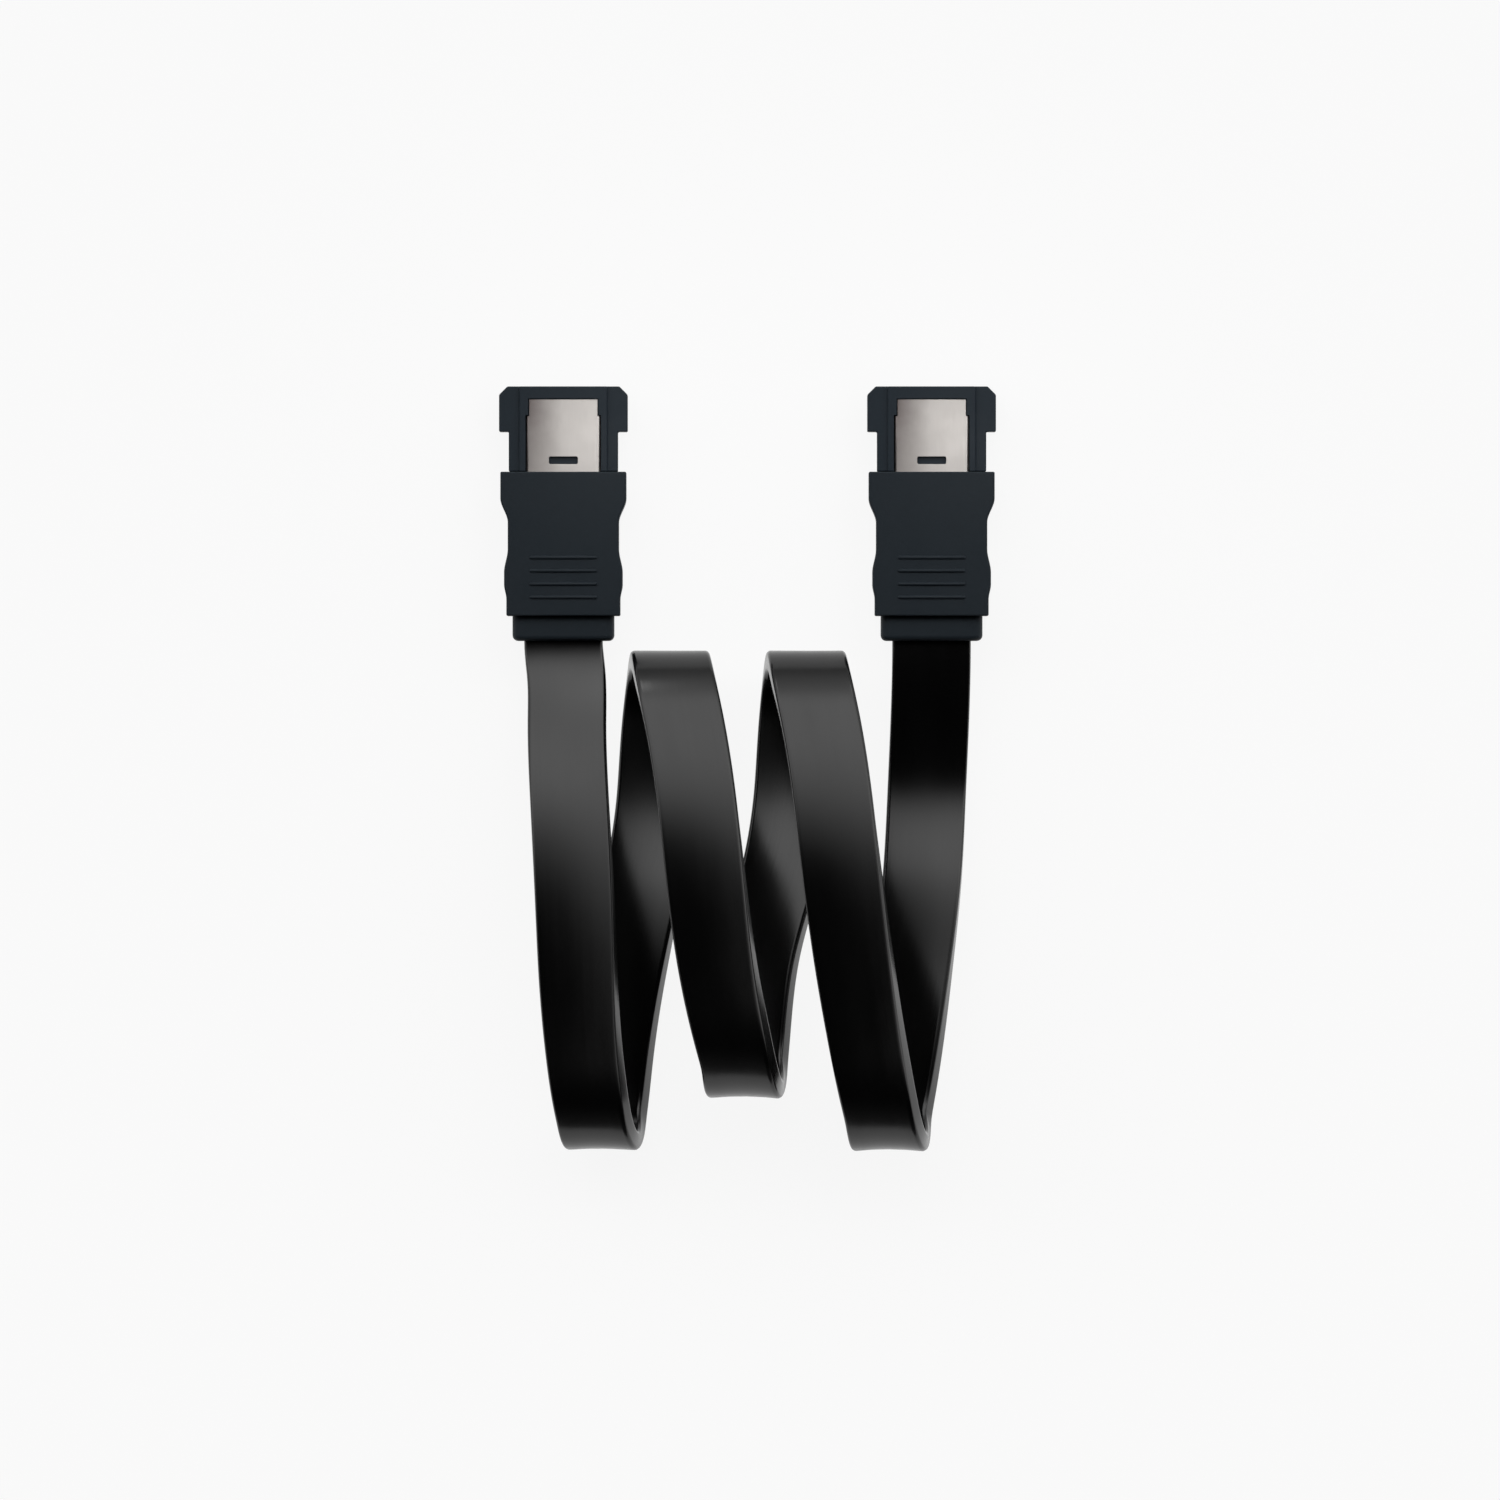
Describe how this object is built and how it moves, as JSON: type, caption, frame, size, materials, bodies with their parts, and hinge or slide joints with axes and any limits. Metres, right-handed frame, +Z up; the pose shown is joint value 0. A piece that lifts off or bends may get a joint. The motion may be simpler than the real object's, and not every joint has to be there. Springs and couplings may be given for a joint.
{
  "type": "esata cable",
  "caption": "Flat black data cable folded in loose zigzag loops, with a flanged plug and steel latch plate on each end.",
  "frame": {"origin": "on the ground, under the middle of the two plugs", "axes": "+X from the left plug to the right plug, +Y out of the mating ends, +Z up, away from the side that lies on the ground"},
  "size_m": [0.0538, 0.0825, 0.0185],
  "materials": {
    "housing_plastic": "moulded black with a blue cast",
    "grip_plastic": "finely textured black with a blue cast",
    "latch_steel": "brushed",
    "contact_gold": "gold plated",
    "core_insulation": "smooth",
    "tinned_copper": "tinned",
    "inner_mould": "as moulded",
    "jacket_vinyl": "satin"
  },
  "bodies": {
    "root": {"cable_jacket": "jacket_vinyl", "left_housing": "housing_plastic", "left_latch_plate": "latch_steel", "left_contact_1": "contact_gold", "left_contact_2": "contact_gold", "left_contact_3": "contact_gold", "left_contact_4": "contact_gold", "left_contact_5": "contact_gold", "left_contact_6": "contact_gold", "left_contact_7": "contact_gold", "left_core_1": "core_insulation", "left_core_2": "core_insulation", "left_core_3": "core_insulation", "left_core_4": "core_insulation", "left_conductor_1": "tinned_copper", "left_conductor_2": "tinned_copper", "left_conductor_3": "tinned_copper", "left_conductor_4": "tinned_copper", "left_ground_wire_1": "tinned_copper", "left_ground_wire_2": "tinned_copper", "left_ground_wire_3": "tinned_copper", "left_inner_mould": "inner_mould", "left_grip": "grip_plastic", "right_housing": "housing_plastic", "right_latch_plate": "latch_steel", "right_contact_1": "contact_gold", "right_contact_2": "contact_gold", "right_contact_3": "contact_gold", "right_contact_4": "contact_gold", "right_contact_5": "contact_gold", "right_contact_6": "contact_gold", "right_contact_7": "contact_gold", "right_core_1": "core_insulation", "right_core_2": "core_insulation", "right_core_3": "core_insulation", "right_core_4": "core_insulation", "right_conductor_1": "tinned_copper", "right_conductor_2": "tinned_copper", "right_conductor_3": "tinned_copper", "right_conductor_4": "tinned_copper", "right_ground_wire_1": "tinned_copper", "right_ground_wire_2": "tinned_copper", "right_ground_wire_3": "tinned_copper", "right_inner_mould": "inner_mould", "right_grip": "grip_plastic"}
  },
  "joints": []
}
